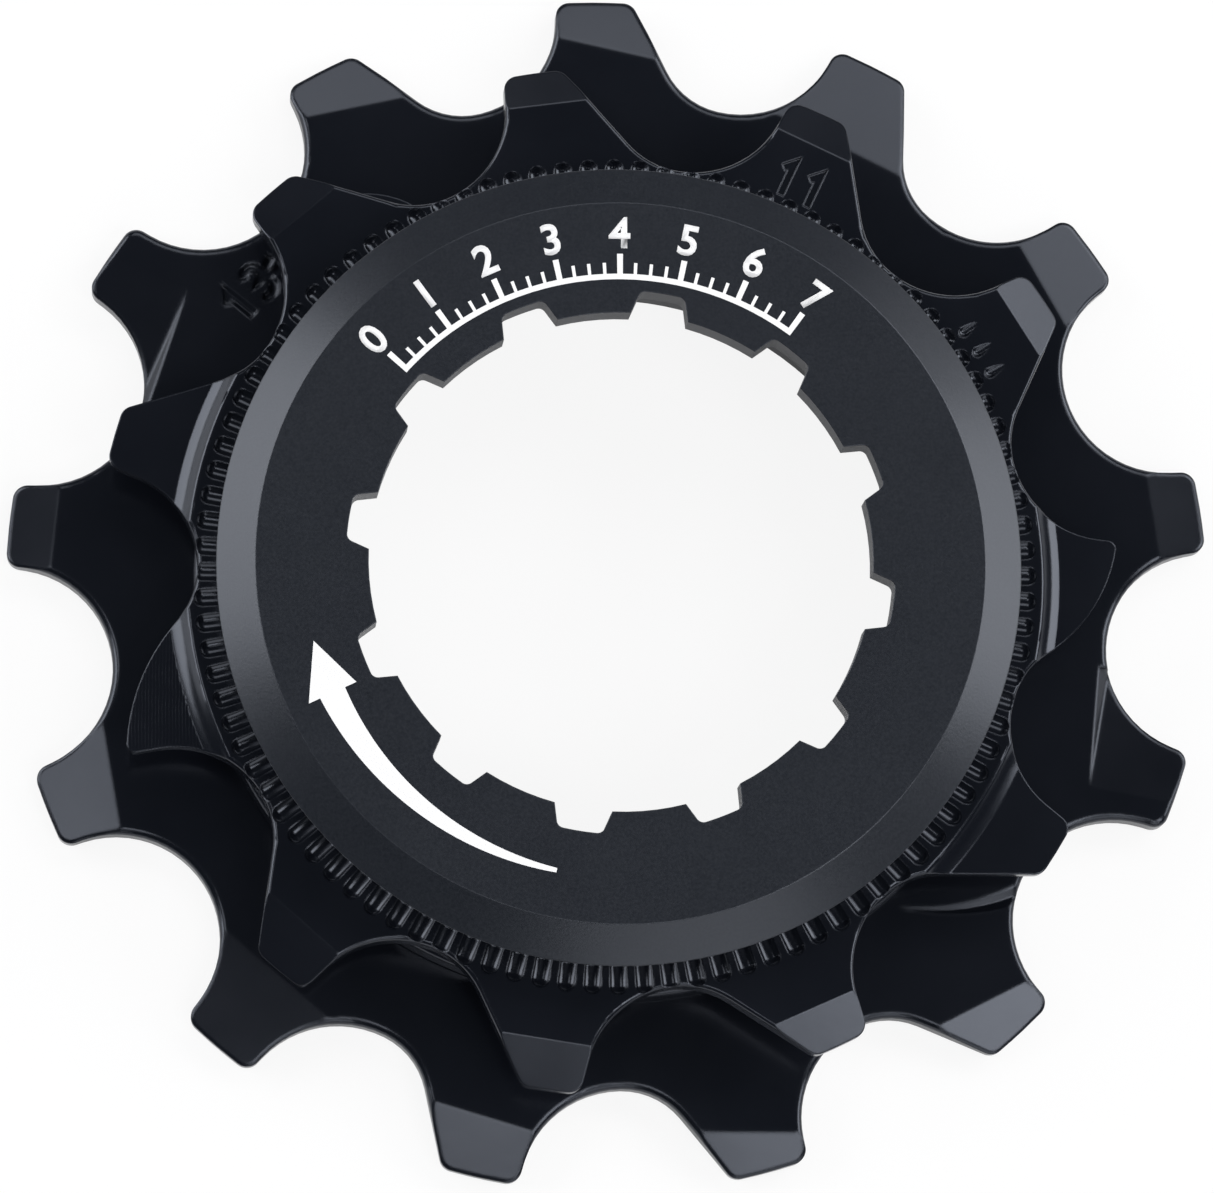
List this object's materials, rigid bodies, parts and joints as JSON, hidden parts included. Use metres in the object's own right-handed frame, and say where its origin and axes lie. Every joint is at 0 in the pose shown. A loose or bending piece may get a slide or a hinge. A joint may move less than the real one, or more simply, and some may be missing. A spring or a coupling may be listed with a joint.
{
  "type": "bicycle cassette sprocket set",
  "caption": "Small end of a bicycle cassette: stacked chain sprockets on a splined bore, some teeth shaped like shark fins, with a spacer ring and a screw-in lockring.",
  "frame": {"origin": "on the sprockets' axis, in the plane of the 13-tooth sprocket's back face", "axes": "+Z along the axis from the back sprocket towards the lockring's front face; a tooth of the 13-tooth sprocket lies 7.9 degrees from +X towards +Y"},
  "size_m": [0.0543, 0.054, 0.0092],
  "materials": {
    "sprocket_coating": "deep gloss black coat over steel",
    "spacer_coating": "gloss black coat over steel",
    "washer_steel": "plain thin steel",
    "lockring_anodising": "bead-blasted, black anodised, satin"
  },
  "bodies": {
    "back_sprocket": {"sprocket_13t": "sprocket_coating"},
    "spacer": {"spacer_ring": "spacer_coating"},
    "front_sprocket": {"sprocket_11t": "sprocket_coating"},
    "washer": {"lockring_washer": "washer_steel"},
    "lockring": {"lockring": "lockring_anodising"}
  },
  "joints": [
    {"name": "spacer_slide", "type": "slide", "parent": "back_sprocket", "child": "spacer", "axis": [0, 0, 1], "range_m": [0, 0.008]},
    {"name": "front_sprocket_slide", "type": "slide", "parent": "spacer", "child": "front_sprocket", "axis": [0, 0, 1], "range_m": [0, 0.008]},
    {"name": "lockring_travel", "type": "slide", "parent": "front_sprocket", "child": "washer", "axis": [0, 0, 1], "range_m": [0, 0.0042]},
    {"name": "lockring_turn", "type": "hinge", "parent": "washer", "child": "lockring", "pos_m": [0, 0, 0.00605], "axis": [0, 0, 1], "range_deg": [0, 1425]}
  ],
  "couplings": [
    {"joint": "lockring_travel", "follows": "lockring_turn", "m_per_rad": 0.00016844}
  ]
}
